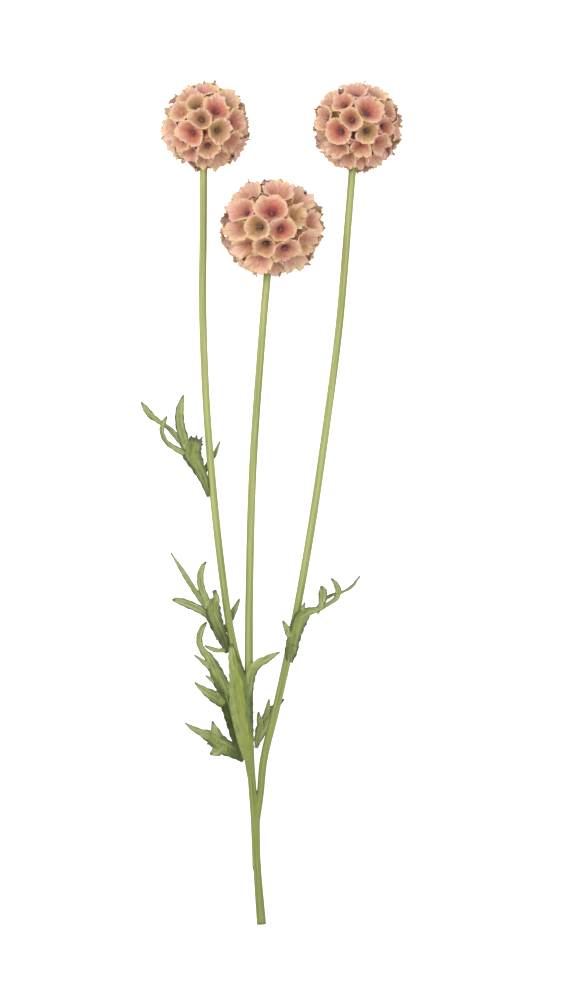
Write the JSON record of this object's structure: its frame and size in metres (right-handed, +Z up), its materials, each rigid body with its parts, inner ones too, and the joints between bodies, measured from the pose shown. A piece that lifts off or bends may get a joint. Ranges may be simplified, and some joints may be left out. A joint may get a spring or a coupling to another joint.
{
  "type": "scabiosa flower",
  "caption": "Cut branching stem of starflower scabiosa with round heads of papery cups and finger-cut leaves, lying on a surface.",
  "frame": {"origin": "middle of the footprint, on the surface that the cut stem lies on", "axes": "+Y from the cut end to the heads, +Z up from the surface, +X to the right seen from above"},
  "size_m": [0.1563, 0.5009, 0.0594],
  "materials": {
    "stem": "smooth green plant stem, satin",
    "leaf": "matt green leaf",
    "floret": "dry papery dusty pink with cream rims"
  },
  "bodies": {
    "root": {"stem": "stem", "head_left": "floret", "head_middle": "floret", "head_right": "floret", "leaf_upper": "leaf", "leaf_second": "leaf", "leaf_long": "leaf", "leaf_low": "leaf", "leaf_fork": "leaf", "leaf_toothed": "leaf", "leaf_right": "leaf"}
  },
  "joints": []
}
